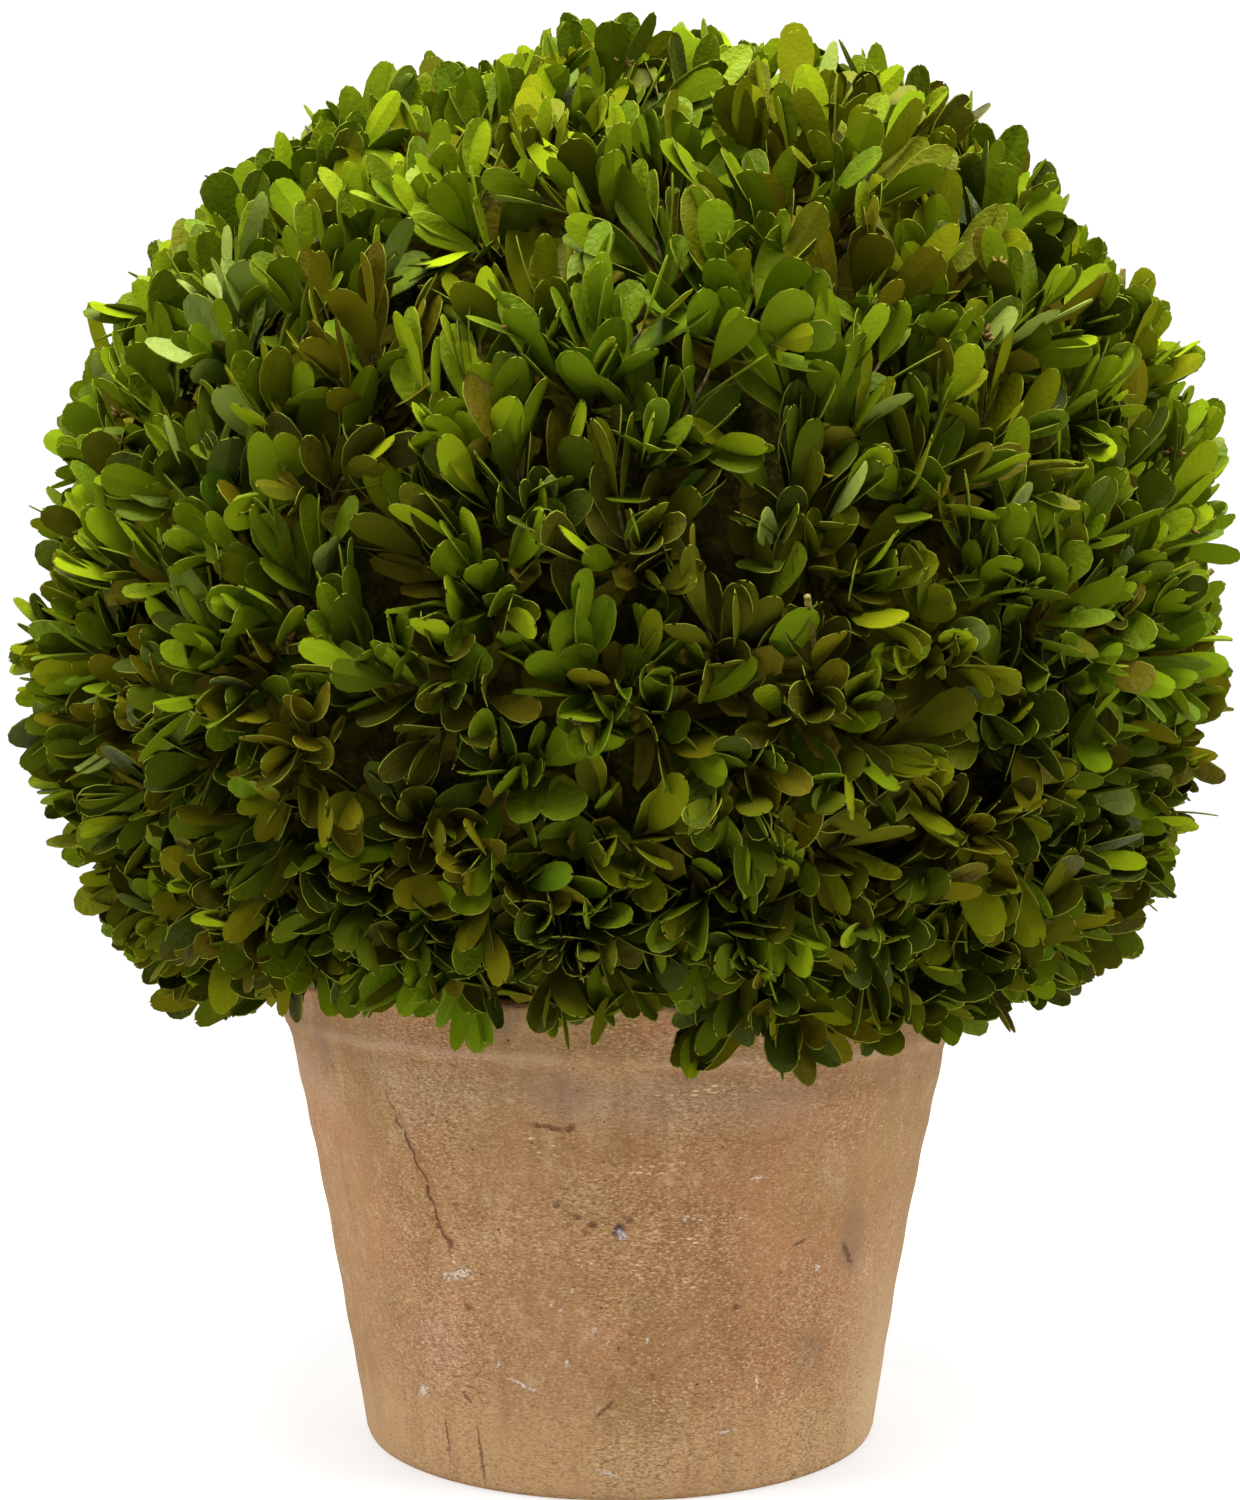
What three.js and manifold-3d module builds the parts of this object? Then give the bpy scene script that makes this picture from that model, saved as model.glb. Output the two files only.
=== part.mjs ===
// A preserved box topiary ball in a terracotta pot, in millimetres, +Z up.
// The origin is the centre of the pot's flat underside, and the side that faces the viewer is -Y.
// The ball is one clipped mass of foliage: sprigs of box leaves that stand out of a solid core.
// A short stem, hidden by the leaves, carries it on the dry fill of the pot.

import * as THREE from "three";
import { mergeVertices } from "three/addons/utils/BufferGeometryUtils.js";
import Module from "manifold-3d";

// The ball, out to the tips of its leaves
const BALL_RADIUS = 177;
const BALL_CENTRE_Z = 230.5;

// The pot: a thrown, gently flaring wall with a soft band below its lip
const POT_HEIGHT = 134;
const POT_FOOT_RADIUS = 73.1;
const POT_FLARE = 0.151; // how fast the wall leans out at the foot
const POT_FLARE_GAIN = 0.00033; // how much faster it leans out with height, per mm
const POT_WALL = 9;
const POT_FLOOR = 11;
const FOOT_ROUNDING = 2;
const BAND_BOTTOM_Z = 117;
const BAND_STEP = 1.1;
const LIP_ROUNDING = 3;
const POT_SIDES = 48;

// What stands in the pot
const FILL_TOP_Z = 112;
const FILL_CROWN = 4;
const FIT_GAP = 0.3; // between two solids that rest on each other
const STEM_FLARE_RADIUS = 15;
const STEM_FOOT_RADIUS = 10;
const STEM_TIP_RADIUS = 8;
const STEM_TIP_Z = 131;
const STEM_SIDES = 14;

// The core of the mass, cut flat above the pot's lip
const CORE_RADIUS = 0.86 * BALL_RADIUS;
const CORE_CUT_Z = POT_HEIGHT + 1.5;
const CORE_DETAIL = 3;
const CORE_RIPPLE = 2.2;
const CORE_RIPPLE_TURNS = 7;

// The sprigs, evenly over the ball, each with one pair of leaves. A long sprig's twig shows, a short one's is in the core
const SEED = 20;
const SPRIGS = 400;
const LONG_SPRIG_EVERY = 3;
const SPRIG_STIR = 0.035; // how far a sprig strays from its even place, in radians
const TWIG_RADIUS = 2.6;
const TWIG_SINK = 9; // how deep a twig's root lies in the core
const TWIG_REACH = 12; // how far a twig stands out of the core
const UPPER_NODE = 0.8; // where its leaves are, as shares of its reach
const LOWER_NODE = 0.4;
const SKIRT_BOTTOM_Z = 116; // the lowest leaf tips
const POT_CLEARANCE = 3.5;

// The leaves, spoon-shaped, larger than life so that few of them fill the ball
const LEAF_LENGTH = 34;
const LEAF_LENGTH_SPREAD = 0.14;
const LEAF_WIDTH_SHARE = 0.54;
const LEAF_WIDEST_AT = 0.64; // of its length
const LEAF_THICKEST_AT = 0.4;
const LEAF_THICKNESS = 1.5;
const LEAF_CUP = 1.4; // how far its edges stand above its midrib
const LEAF_SINK = 6; // how deep the roots of a short sprig's leaves lie in the core
const LONG_SPLAY = 0.92; // radians between a long sprig and its leaves
const SHORT_SPLAY = 0.78;
const SPLAY_SPREAD = 0.3;
const CLEAR_FROM = 0.4; // past this share of its length a leaf may not touch anything else
const TRIES = 4; // how often a leaf that doesn't fit is turned and tried again
const GOLDEN_ANGLE = Math.PI * (3 - Math.sqrt(5));

const terracotta = new THREE.MeshStandardMaterial({ color: 0xaf855b, roughness: 0.9 });
const dryFill = new THREE.MeshStandardMaterial({ color: 0x4a3b26, roughness: 1 });
const bark = new THREE.MeshStandardMaterial({ color: 0x6b5638, roughness: 0.9 });
const boxLeaf = new THREE.MeshStandardMaterial({ color: 0x5b6e14, roughness: 0.5 });

const wasm = await Module();
wasm.setup();

// A repeatable stream of numbers from 0 to 1
function seeded(seed) {
  let state = seed;
  return () => {
    state = (state + 0x6d2b79f5) | 0;
    let t = Math.imul(state ^ (state >>> 15), 1 | state);
    t = (t + Math.imul(t ^ (t >>> 7), 61 | t)) ^ t;
    return ((t ^ (t >>> 14)) >>> 0) / 4294967296;
  };
}

function solidOf(geometry) {
  const bare = new THREE.BufferGeometry();
  bare.setAttribute("position", geometry.getAttribute("position"));
  bare.setIndex(geometry.index);
  const merged = mergeVertices(bare, 1e-4);
  const mesh = new wasm.Mesh({
    numProp: 3,
    vertProperties: new Float32Array(merged.attributes.position.array),
    triVerts: new Uint32Array(merged.index.array),
  });
  return new wasm.Manifold(mesh);
}

function geometryOf(solid) {
  const { vertProperties, triVerts } = solid.getMesh();
  const geometry = new THREE.BufferGeometry();
  geometry.setAttribute("position", new THREE.BufferAttribute(vertProperties, 3));
  geometry.setIndex(new THREE.BufferAttribute(triVerts, 1));
  const flat = geometry.toNonIndexed();
  flat.computeVertexNormals();
  return flat;
}

function named(name, geometry, material) {
  const mesh = new THREE.Mesh(geometry, material);
  mesh.name = name;
  return mesh;
}

// A profile of [radius, height] points, turned about the Z axis
function turned(profile, sides) {
  const points = profile.map(([radius, z]) => new THREE.Vector2(radius, z));
  return new THREE.LatheGeometry(points, sides).rotateX(Math.PI / 2);
}

// The pot's outer radius at a height, without its band
function wallRadius(z) {
  return POT_FOOT_RADIUS + POT_FLARE * z + POT_FLARE_GAIN * z * z;
}

// Points on a quarter round from one direction to the next, in the profile's plane
function rounding(centreRadius, centreZ, radius, fromAngle, toAngle, steps) {
  return Array.from({ length: steps + 1 }, (_, i) => {
    const angle = fromAngle + ((toAngle - fromAngle) * i) / steps;
    return [centreRadius + radius * Math.cos(angle), centreZ + radius * Math.sin(angle)];
  });
}

function makePot() {
  const lipRadius = wallRadius(POT_HEIGHT) + BAND_STEP;
  const innerRadius = (z) => wallRadius(z) - POT_WALL;
  const wallHeights = [22, 44, 66, 88, 104, BAND_BOTTOM_Z - 2];
  const innerHeights = [POT_HEIGHT - LIP_ROUNDING, 100, 60, POT_FLOOR + 8];
  const footCentre = wallRadius(FOOT_ROUNDING) - FOOT_ROUNDING;
  const profile = [
    [0, 0],
    ...rounding(footCentre, FOOT_ROUNDING, FOOT_ROUNDING, -Math.PI / 2, 0, 3),
    ...wallHeights.map((z) => [wallRadius(z), z]),
    [wallRadius(BAND_BOTTOM_Z + 1) + BAND_STEP, BAND_BOTTOM_Z + 1],
    ...rounding(lipRadius - LIP_ROUNDING, POT_HEIGHT - LIP_ROUNDING, LIP_ROUNDING, 0, Math.PI / 2, 3),
    [innerRadius(POT_HEIGHT) + LIP_ROUNDING, POT_HEIGHT],
    ...innerHeights.map((z) => [innerRadius(z), z]),
    [innerRadius(POT_FLOOR) - 6, POT_FLOOR],
    [0, POT_FLOOR],
  ];
  return named("pot", turned(profile, POT_SIDES), terracotta);
}

// The fill follows the inside of the pot, a fit's gap away from it, and its top is slightly crowned
function makeFill() {
  const radius = (z) => wallRadius(z) - POT_WALL - FIT_GAP - 0.6;
  const bottom = POT_FLOOR + FIT_GAP;
  const profile = [
    [0, bottom],
    [radius(POT_FLOOR) - 7, bottom],
    [radius(POT_FLOOR + 9), POT_FLOOR + 9],
    [radius(60), 60],
    [radius(100), 100],
    [radius(FILL_TOP_Z - FILL_CROWN), FILL_TOP_Z - FILL_CROWN],
    [0.55 * radius(FILL_TOP_Z), FILL_TOP_Z - 0.25 * FILL_CROWN],
    [1.2 * STEM_FLARE_RADIUS, FILL_TOP_Z],
    [0, FILL_TOP_Z],
  ];
  return named("pot_fill", turned(profile, POT_SIDES), dryFill);
}

// The stem tapers from a flared foot, cut flat where it meets the fill, to a flat tip under the ball
function makeStem() {
  const foot = FILL_TOP_Z + FIT_GAP;
  const profile = [
    [0, foot],
    [STEM_FLARE_RADIUS, foot],
    [STEM_FOOT_RADIUS + 1.4, foot + 5],
    [STEM_FOOT_RADIUS, foot + 11],
    [STEM_TIP_RADIUS + 0.6, STEM_TIP_Z - 6],
    [STEM_TIP_RADIUS, STEM_TIP_Z],
    [0, STEM_TIP_Z],
  ];
  return named("stem", turned(profile, STEM_SIDES), bark);
}

const ballCentre = new THREE.Vector3(0, 0, BALL_CENTRE_Z);

// The clipped ball's inside: a rippled sphere, cut flat, with a neck that meets the stem's tip
function makeCore() {
  const ball = new THREE.IcosahedronGeometry(1, CORE_DETAIL);
  const place = ball.getAttribute("position");
  for (let i = 0; i < place.count; i++) {
    const point = new THREE.Vector3().fromBufferAttribute(place, i);
    const turns = CORE_RIPPLE_TURNS;
    const ripple = Math.sin(turns * point.x) * Math.sin(turns * point.y + 1) + Math.sin(turns * point.z + 2);
    point.multiplyScalar(CORE_RADIUS + 0.5 * CORE_RIPPLE * ripple);
    place.setXYZ(i, point.x, point.y, point.z);
  }
  ball.translate(0, 0, BALL_CENTRE_Z);
  const below = new THREE.BoxGeometry(4 * BALL_RADIUS, 4 * BALL_RADIUS, 2 * BALL_RADIUS);
  below.translate(0, 0, CORE_CUT_Z - BALL_RADIUS);
  const neckBottom = STEM_TIP_Z + FIT_GAP;
  const neck = turned(
    [
      [0, neckBottom],
      [STEM_TIP_RADIUS, neckBottom],
      [STEM_TIP_RADIUS, CORE_CUT_Z + 8],
      [0, CORE_CUT_Z + 8],
    ],
    STEM_SIDES,
  );
  return solidOf(ball).subtract(solidOf(below)).add(solidOf(neck));
}

// A leaf along +Z with its face towards +Y, widest past its middle and cupped along its midrib
function leafBlade(length, from) {
  const widest = LEAF_WIDEST_AT * length;
  const halfWidth = 0.5 * LEAF_WIDTH_SHARE * length;
  const thickest = Math.max(LEAF_THICKEST_AT, from + 0.05) * length;
  const points = [
    [0, 0, from * length],
    [-halfWidth, LEAF_CUP, widest],
    [0, 0.5 * LEAF_CUP, length],
    [halfWidth, LEAF_CUP, widest],
    [0, LEAF_THICKNESS / 2, thickest],
    [0, -LEAF_THICKNESS / 2, thickest],
  ];
  const faces = [0, 1, 4, 1, 2, 4, 2, 3, 4, 3, 0, 4, 1, 0, 5, 2, 1, 5, 3, 2, 5, 0, 3, 5];
  const blade = new THREE.BufferGeometry();
  blade.setAttribute("position", new THREE.Float32BufferAttribute(points.flat(), 3));
  blade.setIndex(faces);
  return blade;
}

// Places a shape that was made along +Z at a root, along a direction, turned about that direction
function aimed(geometry, root, direction, turn) {
  const aim = new THREE.Quaternion().setFromUnitVectors(new THREE.Vector3(0, 0, 1), direction);
  const spin = new THREE.Quaternion().setFromAxisAngle(new THREE.Vector3(0, 0, 1), turn);
  geometry.applyQuaternion(aim.multiply(spin));
  return geometry.translate(root.x, root.y, root.z);
}

// The space of the pot, with room around it, that no leaf may enter
const potSpaceRadius = wallRadius(POT_HEIGHT) + BAND_STEP + POT_CLEARANCE;
const potSpace = solidOf(
  turned(
    [
      [0, 0],
      [potSpaceRadius, 0],
      [potSpaceRadius, POT_HEIGHT + 1],
      [0, POT_HEIGHT + 1],
    ],
    POT_SIDES,
  ),
);

// True if a shape keeps to the ball's own space: inside the ball, above the skirt and off the pot
function keepsToBall(geometry) {
  const place = geometry.getAttribute("position");
  for (let i = 0; i < place.count; i++) {
    const point = new THREE.Vector3().fromBufferAttribute(place, i);
    if (point.distanceTo(ballCentre) > BALL_RADIUS || point.z < SKIRT_BOTTOM_Z) return false;
  }
  return potSpace.intersect(solidOf(geometry)).isEmpty();
}

// A direction that leans away from another by an angle, towards a compass turn round it
function leaning(direction, angle, turn) {
  const aim = new THREE.Quaternion().setFromUnitVectors(new THREE.Vector3(0, 0, 1), direction);
  const side = new THREE.Vector3(Math.cos(turn), Math.sin(turn), 0).applyQuaternion(aim);
  return direction.clone().multiplyScalar(Math.cos(angle)).addScaledVector(side, Math.sin(angle));
}

// Directions of the sprigs from the ball's centre: an even spiral over the whole ball, a little stirred
function sprigDirections(random) {
  return Array.from({ length: SPRIGS }, (_, i) => {
    const height = 1 - (2 * i + 1) / SPRIGS;
    const flat = Math.sqrt(1 - height * height);
    const around = i * GOLDEN_ANGLE;
    const even = new THREE.Vector3(flat * Math.cos(around), flat * Math.sin(around), height);
    return leaning(even, SPRIG_STIR * random(), 2 * Math.PI * random());
  });
}

// Where a sprig's axis leaves the core, through its rippled ball or through its flat cut
function coreExit(direction) {
  const down = -direction.z * CORE_RADIUS > BALL_CENTRE_Z - CORE_CUT_Z;
  const reach = down ? (BALL_CENTRE_Z - CORE_CUT_Z) / -direction.z : CORE_RADIUS;
  return ballCentre.clone().addScaledVector(direction, reach);
}

// A sprig's three-sided twig, pointed, with its root in the core
function makeTwig(direction) {
  const length = 1.2 * (TWIG_SINK + TWIG_REACH);
  const twig = new THREE.ConeGeometry(TWIG_RADIUS, length, 3).rotateX(Math.PI / 2);
  twig.translate(0, 0, length / 2);
  const root = coreExit(direction).addScaledVector(direction, -TWIG_SINK);
  return aimed(twig, root, direction, 0);
}

// The whole mass, fused: the core, the twigs of the long sprigs and every pair of leaves that finds room
function makeFoliageBall() {
  const random = seeded(SEED);
  const sprigs = sprigDirections(random).map((direction, i) => ({
    direction,
    long: i % LONG_SPRIG_EVERY === 0,
    firstTurn: 2 * Math.PI * random(),
  }));
  let mass = makeCore();
  for (const sprig of sprigs.filter(({ long }) => long)) {
    const twig = makeTwig(sprig.direction);
    sprig.bare = !keepsToBall(twig);
    if (!sprig.bare) mass = mass.add(solidOf(twig));
  }
  let leaves = 0;
  for (const { direction, long, firstTurn } of sprigs.filter((sprig) => !sprig.bare)) {
    for (const side of [0, Math.PI]) {
      for (let attempt = 0; attempt < TRIES; attempt++) {
        const turn = firstTurn + side + 0.7 * attempt;
        const splay = (long ? LONG_SPLAY : SHORT_SPLAY) + SPLAY_SPREAD * (random() - 0.5);
        const aim = leaning(direction, splay, turn);
        const length = LEAF_LENGTH * (1 + LEAF_LENGTH_SPREAD * (2 * random() - 1));
        const root = coreExit(direction);
        const node = side ? UPPER_NODE : LOWER_NODE;
        root.addScaledVector(direction, long ? node * TWIG_REACH : -LEAF_SINK);
        if (long) root.addScaledVector(aim, -1);
        const leaf = aimed(leafBlade(length, 0), root, aim, turn + Math.PI / 2);
        if (!keepsToBall(leaf)) continue;
        const clear = aimed(leafBlade(length, CLEAR_FROM), root, aim, turn + Math.PI / 2);
        if (!mass.intersect(solidOf(clear)).isEmpty()) continue;
        mass = mass.add(solidOf(leaf));
        leaves++;
        break;
      }
    }
  }
  console.log(`${leaves} leaves, ${mass.numTri()} triangles in the foliage ball`);
  const [largest] = mass.decompose().sort((a, b) => b.volume() - a.volume());
  return named("foliage_ball", geometryOf(largest), boxLeaf);
}

const plant = new THREE.Group();
plant.add(makePot(), makeFill(), makeStem(), makeFoliageBall());

export default plant;
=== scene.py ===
# A preserved box topiary ball in a terracotta pot, seen from -Y. Lengths in the sections are in
# millimetres, from the centre of the pot's underside, and become metres when a mesh is made.
# Materials and the studio are in metres, and the scale of a pattern is in lumps per metre.

import math

import bpy
import numpy as np
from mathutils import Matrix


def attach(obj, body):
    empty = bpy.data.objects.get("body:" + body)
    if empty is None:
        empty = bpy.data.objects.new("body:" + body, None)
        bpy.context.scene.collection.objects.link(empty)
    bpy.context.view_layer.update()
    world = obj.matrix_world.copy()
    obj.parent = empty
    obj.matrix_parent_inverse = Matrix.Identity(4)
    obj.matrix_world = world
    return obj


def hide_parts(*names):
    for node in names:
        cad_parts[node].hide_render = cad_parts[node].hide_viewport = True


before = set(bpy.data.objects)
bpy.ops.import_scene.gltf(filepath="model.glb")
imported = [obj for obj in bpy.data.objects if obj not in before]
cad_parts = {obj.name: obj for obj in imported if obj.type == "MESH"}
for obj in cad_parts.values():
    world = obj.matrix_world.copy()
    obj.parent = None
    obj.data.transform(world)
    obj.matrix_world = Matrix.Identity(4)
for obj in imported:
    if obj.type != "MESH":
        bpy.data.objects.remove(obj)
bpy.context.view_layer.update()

# The pot
# A flowerpot thrown from red-brown clay and fired without a glaze: a gently flared wall, a soft band
# pressed up below its lip and a flat, closed underside. It stands on its foot and carries the rest.

POT_HEIGHT = 134.0
POT_FOOT_RADIUS = 73.1
POT_FLARE = 0.151  # gain in radius for each millimetre of height
POT_FLARE_GAIN = 0.00033
POT_WALL = 9.0
POT_FLOOR = 11.0
FOOT_ROUNDING = 2.0
LIP_ROUNDING = 3.0
FLOOR_CORNER_HEIGHT = 8.0
FLOOR_CORNER_WIDTH = 6.0
BAND_BOTTOM = 117.0
BAND_STEP = 0.9
BAND_TILT = 2.2  # the band was pressed in by hand and runs this much lower on the right
BAND_WAVE = 0.5
BAND_BELOW = 1.6  # the step of the band starts this far below its edge
BAND_ABOVE = 1.8  # and ends this far above it
GROOVE_DROP = 4.0  # the groove lies this far below the band's edge
GROOVE_WIDTH = 2.2
GROOVE_DEPTH = 0.3
THROWING_RINGS = 0.14  # height of the finger marks left by throwing
RING_SPACING = 2.6
OUT_OF_ROUND = 0.45
TRUE_FOOT = 4.0  # the wall is true up to this height, and fully uneven from the next one on
TRUE_END = 40.0
POT_SIDES = 240
FOOT_STEPS = 5
WALL_STEPS = 76
LIP_STEPS = 9
OUTER_LIP_STEPS = 5  # steps of the lip that share the outside's unevenness
INSIDE_STEPS = 14

CLAY = (0.362, 0.199, 0.091)
CLAY_PINK = (0.388, 0.191, 0.084)
CLAY_OLIVE = (0.346, 0.209, 0.082)
CLAY_FOOT = (0.484, 0.296, 0.139)
CLAY_BLOOM_AND_HIGHLIGHT = (0.450, 0.310, 0.205)
CLAY_DARK = (0.190, 0.092, 0.036)
CLAY_PALE = (0.580, 0.410, 0.230)
CLAY_SOOT_AND_SHADE = (0.130, 0.095, 0.070)
CLAY_LIME = (0.720, 0.620, 0.500)
CLAY_GOLD = (0.740, 0.560, 0.300)
CLAY_EARTH = (0.262, 0.130, 0.050)
CLAY_RUST = (0.235, 0.096, 0.036)
CRACK = (0.105, 0.030, 0.010)
PIT_DARK = (0.030, 0.022, 0.030)
PIT_PALE = (0.620, 0.550, 0.660)
CLAY_DUST = (1.0, 0.80, 0.52)
CLAY_SHEEN = 0.12  # the dusty surface is brighter where it is seen at a slant

# The crack runs down the front on the left, from below the band to a white spot. In metres.
CRACK_TOP = 0.122  # the height where it would start if it didn't fade
CRACK_ACROSS = -0.0640
CRACK_SLANT = 0.335
CRACK_WIDTH = 0.0008
STAIN_WIDTH = 0.0030
CRACK_END = (0.064, 0.068)
CRACK_FADE = (0.098, 0.112)

# Marks on the front, each with its place across and up, its length and width, and its tilt in degrees.
DARK_MARKS = [
    (-18.5, 101.2, 8, 0.7, -8), (-12.5, 101.2, 2.4, 0.8, 30), (-16.3, 80.6, 1.6, 0.9, 0),
    (-11, 77.5, 2.2, 0.8, -20), (-7, 75.6, 2, 0.9, -35), (2.4, 76.8, 2.2, 0.9, 15),
    (-39.6, 50.8, 3.4, 0.7, -28), (-4, 25.6, 6, 0.6, 42), (46.8, 67.6, 3.6, 0.5, 20),
    (-45.9, 13, 10, 0.3, -84), (-36.7, 10.5, 15, 0.35, -83), (-40.5, 25.5, 3.4, 0.5, -50),
    (60.5, 62, 7, 0.8, -70), (30, 52, 2, 0.8, 10),
]
PALE_MARKS = [
    (35.1, 86.8, 3.4, 0.5, 4), (16.8, 76.9, 1.6, 0.6, 0), (20.5, 76.5, 3.2, 0.6, 0),
    (-52.6, 24.6, 2.8, 1.7, 12), (-25.2, 31, 8.5, 0.5, -22), (-12.1, 57.9, 0.9, 0.9, 0),
    (-17.5, 54.1, 1, 1, 0), (-15.2, 52.4, 0.8, 0.8, 0), (-13.7, 38, 1.1, 1.1, 0), (-31.9, 35.9, 1, 1, 0),
    (-7, 46.7, 1.2, 1.2, 0), (-3.4, 43.8, 0.9, 0.9, 0), (7.2, 44.5, 0.8, 0.8, 0), (52, 60, 1.4, 0.9, 10),
    (36, 30, 0.8, 3.4, 8), (28, 18, 6, 0.4, 5), (-41.6, 59.8, 5, 1.6, 12), (-45.2, 58.4, 2.6, 1, -15),
    (-43.4, 63.2, 0.9, 2.2, 10), (-3, 8, 6, 0.7, -14),
]
GOLD_MARKS = [
    (22, 110.2, 26, 2.6, 2), (4, 63.4, 9, 4, -12), (17.5, 70.2, 12, 2.6, 0), (18, 59.2, 9, 2, 4),
    (-8, 66.5, 7, 3, 25), (-20, 96, 10, 3, -15), (8, 90, 12, 2, 6), (30, 76, 8, 2.4, -5),
]
SMUDGES = [
    (-80, 119, 6, 12, 0), (-26, 124, 14, 9, -25), (-18, 112, 22, 7, -35), (62, 66, 22, 5, 84),
    (50, 34, 16, 6, 88),
]
PIT_HOLLOW = (-0.3, 74.2, 3.0, 2.2, -20)
PIT_FLOOR = (0.5, 73.0, 2.0, 1.8, 35)


def smooth_step(value, low, high):
    """0 below low, 1 above high and a soft slope between."""
    share = np.clip((value - low) / (high - low), 0, 1)
    return share * share * (3 - 2 * share)


def make_piece(name, points, faces, materials, material_of_face=None):
    """One smooth object from points in millimetres and arrays of faces, each with its own corner count."""
    corners = np.concatenate([np.ravel(group) for group in faces])
    sizes = np.concatenate([np.full(len(group), group.shape[1]) for group in faces])
    mesh = bpy.data.meshes.new(name)
    mesh.vertices.add(len(points))
    mesh.vertices.foreach_set("co", (0.001 * points).astype(np.float32).ravel())
    mesh.loops.add(len(corners))
    mesh.loops.foreach_set("vertex_index", corners.astype(np.int32))
    mesh.polygons.add(len(sizes))
    mesh.polygons.foreach_set("loop_start", (np.cumsum(sizes) - sizes).astype(np.int32))
    mesh.polygons.foreach_set("use_smooth", np.ones(len(sizes), dtype=bool))
    for material in materials:
        mesh.materials.append(material)
    if material_of_face is not None:
        mesh.polygons.foreach_set("material_index", material_of_face.astype(np.int32))
    mesh.update(calc_edges=True)
    piece = bpy.data.objects.new(name, mesh)
    bpy.context.scene.collection.objects.link(piece)
    return piece


def ring_faces(rings, sides):
    """Quads that join rings of points, stored one after another, into a tube that faces outward."""
    ring, side = np.meshgrid(np.arange(rings - 1), np.arange(sides), indexing="ij")
    here = ring * sides + side
    beside = ring * sides + (side + 1) % sides
    return np.stack([here, beside, beside + sides, here + sides], axis=-1).reshape(-1, 4)


def closed_rings(rings, sides):
    """The same tube, with its first and its last ring closed."""
    end = np.arange(sides)[None]
    return [ring_faces(rings, sides), end[:, ::-1], (rings - 1) * sides + end]


def wall_radius(z):
    return POT_FOOT_RADIUS + POT_FLARE * z + POT_FLARE_GAIN * z * z


def pot_profile():
    """(radius, height) pairs up the outside, over the lip and down the inside, and how many are outside."""
    foot = []
    for angle in np.linspace(-math.pi / 2, 0, FOOT_STEPS):
        foot_radius = wall_radius(0) + FOOT_ROUNDING * (math.cos(angle) - 1)
        foot.append((foot_radius, FOOT_ROUNDING * (1 + math.sin(angle))))
    lip_height = POT_HEIGHT - LIP_ROUNDING
    wall = [(wall_radius(z), z) for z in np.linspace(FOOT_ROUNDING + 0.8, lip_height, WALL_STEPS)]
    outer_lip = wall_radius(POT_HEIGHT) - LIP_ROUNDING
    inner_lip = wall_radius(POT_HEIGHT) - POT_WALL + LIP_ROUNDING
    lip = []
    for angle in np.linspace(0, math.pi, LIP_STEPS)[1:]:
        middle = outer_lip if angle <= math.pi / 2 else inner_lip
        lip.append((middle + LIP_ROUNDING * math.cos(angle), lip_height + LIP_ROUNDING * math.sin(angle)))
    inner_heights = np.linspace(lip_height - 2, POT_FLOOR + FLOOR_CORNER_HEIGHT, INSIDE_STEPS)
    inside = [(wall_radius(z) - POT_WALL, z) for z in inner_heights]
    floor = [(wall_radius(POT_FLOOR) - POT_WALL - FLOOR_CORNER_WIDTH, POT_FLOOR)]
    return np.array(foot + wall + lip + inside + floor), len(foot) + len(wall) + OUTER_LIP_STEPS


profile, outer_rings = pot_profile()
turns = np.linspace(0, 2 * math.pi, POT_SIDES, endpoint=False)
radius, turn = np.meshgrid(profile[:, 0], turns, indexing="ij")
height = np.repeat(profile[:, 1:], POT_SIDES, axis=1)
outside = np.repeat(np.arange(len(profile))[:, None] < outer_rings, POT_SIDES, axis=1)

band_height = BAND_BOTTOM - BAND_TILT * np.cos(turn) + BAND_WAVE * np.sin(3 * turn + 1)
band = BAND_STEP * smooth_step(height, band_height - BAND_BELOW, band_height + BAND_ABOVE)
groove = GROOVE_DEPTH * np.exp(-((height - band_height + GROOVE_DROP) / GROOVE_WIDTH) ** 2)
rings = THROWING_RINGS * np.sin(height / RING_SPACING + 0.8 * np.sin(turn) + 1.4 * np.sin(height / 17))
lopsided = OUT_OF_ROUND * (0.6 * np.sin(3 * turn - 2.3) - 0.4 * np.sin(5 * turn + height / 30))
uneven = (rings + lopsided) * smooth_step(height, TRUE_FOOT, TRUE_END)
radius = radius + np.where(outside, band - groove + uneven, 0)
points = np.stack([radius * np.cos(turn), radius * np.sin(turn), height], axis=-1).reshape(-1, 3)


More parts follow.
